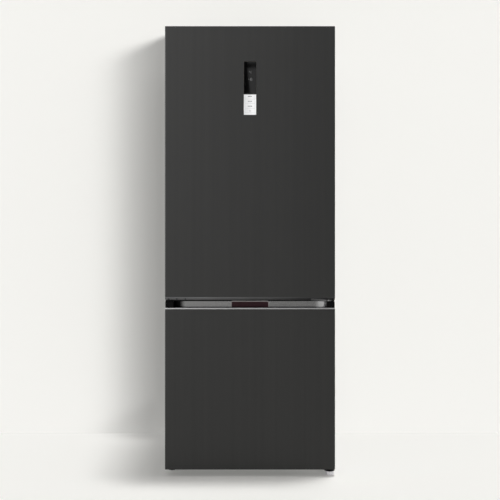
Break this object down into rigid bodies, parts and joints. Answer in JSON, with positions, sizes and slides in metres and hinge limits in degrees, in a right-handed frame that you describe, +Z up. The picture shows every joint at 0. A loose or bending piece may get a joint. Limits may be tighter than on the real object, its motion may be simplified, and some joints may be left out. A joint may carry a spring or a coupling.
{
  "type": "fridge freezer",
  "caption": "Free-standing dark grey fridge freezer with a tall fridge door above a freezer door, recessed grip between them and a slim control strip.",
  "frame": {"origin": "bounding box bottom centre, on the floor the feet stand on", "axes": "+X to the right seen from the front, +Y to the back, +Z up; the doors face -Y"},
  "size_m": [0.7, 0.68, 1.85],
  "materials": {
    "dark_inox": "dark grey brushed sheet steel, vertical grain",
    "side_paint": "dark grey painted sheet steel, fine orange peel",
    "zinc_sheet": "zinc coated sheet steel",
    "hinge_steel": "plated pressed steel",
    "foam": "rigid polyurethane foam, sealed between skin and liner",
    "liner_white": "vacuum formed white liner",
    "white_plastic": "white moulded plastic",
    "black_plastic": "black moulded plastic",
    "grey_plastic": "grey moulded plastic",
    "light_plastic": "light grey moulded plastic",
    "grip_metal": "satin grey metal strip",
    "lip_metal": "bright satin metal strip",
    "badge": "dark red gloss plate, bare",
    "display_black": "gloss black window",
    "touch_white": "gloss white touch plate",
    "shelf_glass": "toughened clear glass",
    "clear_plastic": "clear moulded plastic",
    "gasket_rubber": "soft grey seal",
    "black_rubber": "black rubber",
    "black_paint": "black painted steel",
    "copper": "drawn copper tube",
    "fin_aluminium": "bare aluminium",
    "pin_steel": "turned steel"
  },
  "bodies": {
    "cabinet": {"outer_shell": "side_paint", "back_panel": "zinc_sheet", "base_panel": "zinc_sheet", "cabinet_foam": "foam", "fridge_liner": "liner_white", "freezer_liner": "liner_white", "centre_rail": "side_paint", "top_hinge_bracket": "hinge_steel", "top_hinge_cover": "grey_plastic", "middle_hinge_bracket": "hinge_steel", "bottom_hinge_bracket": "black_paint", "hinge_pins": "pin_steel", "compressor": "black_paint", "compressor_base": "zinc_sheet", "compressor_grommets": "black_rubber", "compressor_terminal_cover": "black_plastic", "evaporation_tray": "black_plastic", "condenser_coil": "black_paint", "condenser_wires": "black_paint", "condenser_brackets": "black_plastic", "refrigerant_lines": "copper", "roller_axles": "pin_steel", "evaporator": "fin_aluminium", "evaporator_cover": "white_plastic", "fan_motor": "black_plastic", "fridge_air_duct": "white_plastic", "fridge_lamp": "white_plastic", "glass_shelves": "shelf_glass", "shelf_trims": "light_plastic"},
    "fridge_door": {"fridge_door_skin": "dark_inox", "fridge_door_top_cap": "grey_plastic", "fridge_door_bottom_cap": "grey_plastic", "fridge_door_foam": "foam", "fridge_door_liner": "liner_white", "fridge_door_gasket": "gasket_rubber", "display_panel": "display_black", "touch_panel": "touch_white", "door_bins": "clear_plastic", "fridge_door_bushes": "black_plastic"},
    "freezer_door": {"freezer_door_skin": "dark_inox", "freezer_door_top_cap": "black_plastic", "grip_trim": "grip_metal", "lip_trim": "lip_metal", "grip_badge": "badge", "freezer_door_bottom_cap": "grey_plastic", "freezer_door_foam": "foam", "freezer_door_liner": "liner_white", "freezer_door_gasket": "gasket_rubber", "freezer_door_bushes": "black_plastic"},
    "crisper_drawer": {"crisper_drawer": "clear_plastic"},
    "chiller_drawer": {"chiller_drawer": "clear_plastic"},
    "freezer_drawer_lower": {"freezer_drawer_lower": "clear_plastic"},
    "freezer_drawer_middle": {"freezer_drawer_middle": "clear_plastic"},
    "freezer_drawer_upper": {"freezer_drawer_upper": "clear_plastic"},
    "fan_rotor": {"fan_rotor": "white_plastic"},
    "rear_roller_left": {"rear_roller_left": "black_plastic"},
    "rear_roller_right": {"rear_roller_right": "black_plastic"},
    "front_foot_left": {"front_foot_left": "black_plastic"},
    "front_foot_right": {"front_foot_right": "light_plastic"}
  },
  "joints": [
    {"name": "fridge_door_hinge", "type": "hinge", "parent": "cabinet", "child": "fridge_door", "pos_m": [0.33, -0.308, 1.29], "axis": [0, 0, 1], "range_deg": [0, 120]},
    {"name": "freezer_door_hinge", "type": "hinge", "parent": "cabinet", "child": "freezer_door", "pos_m": [0.33, -0.308, 0.38], "axis": [0, 0, 1], "range_deg": [0, 120]},
    {"name": "crisper_slide", "type": "slide", "parent": "cabinet", "child": "crisper_drawer", "axis": [0, -1, 0], "range_m": [0, 0.241]},
    {"name": "chiller_slide", "type": "slide", "parent": "cabinet", "child": "chiller_drawer", "axis": [0, -1, 0], "range_m": [0, 0.241]},
    {"name": "freezer_lower_slide", "type": "slide", "parent": "cabinet", "child": "freezer_drawer_lower", "axis": [0, -1, 0], "range_m": [0, 0.135]},
    {"name": "freezer_middle_slide", "type": "slide", "parent": "cabinet", "child": "freezer_drawer_middle", "axis": [0, -1, 0], "range_m": [0, 0.197]},
    {"name": "freezer_upper_slide", "type": "slide", "parent": "cabinet", "child": "freezer_drawer_upper", "axis": [0, -1, 0], "range_m": [0, 0.197]},
    {"name": "fan_spin", "type": "hinge", "parent": "cabinet", "child": "fan_rotor", "pos_m": [0, 0.177, 0.5835], "axis": [0, 1, 0], "continuous": true},
    {"name": "roller_left_spin", "type": "hinge", "parent": "cabinet", "child": "rear_roller_left", "pos_m": [-0.3, 0.262, 0.02], "axis": [1, 0, 0], "continuous": true},
    {"name": "roller_right_spin", "type": "hinge", "parent": "cabinet", "child": "rear_roller_right", "pos_m": [0.3, 0.262, 0.02], "axis": [1, 0, 0], "continuous": true},
    {"name": "foot_left_turn", "type": "hinge", "parent": "cabinet", "child": "front_foot_left", "pos_m": [-0.33, -0.238, 0.008], "axis": [0, 0, 1], "continuous": true},
    {"name": "foot_right_turn", "type": "hinge", "parent": "cabinet", "child": "front_foot_right", "pos_m": [0.33, -0.308, 0.008], "axis": [0, 0, 1], "continuous": true}
  ],
  "couplings": [
    {"joint": "crisper_slide", "follows": "fridge_door_hinge", "m_per_rad": 0.115},
    {"joint": "chiller_slide", "follows": "fridge_door_hinge", "m_per_rad": 0.115},
    {"joint": "freezer_lower_slide", "follows": "freezer_door_hinge", "m_per_rad": 0.064},
    {"joint": "freezer_middle_slide", "follows": "freezer_door_hinge", "m_per_rad": 0.094},
    {"joint": "freezer_upper_slide", "follows": "freezer_door_hinge", "m_per_rad": 0.094}
  ]
}
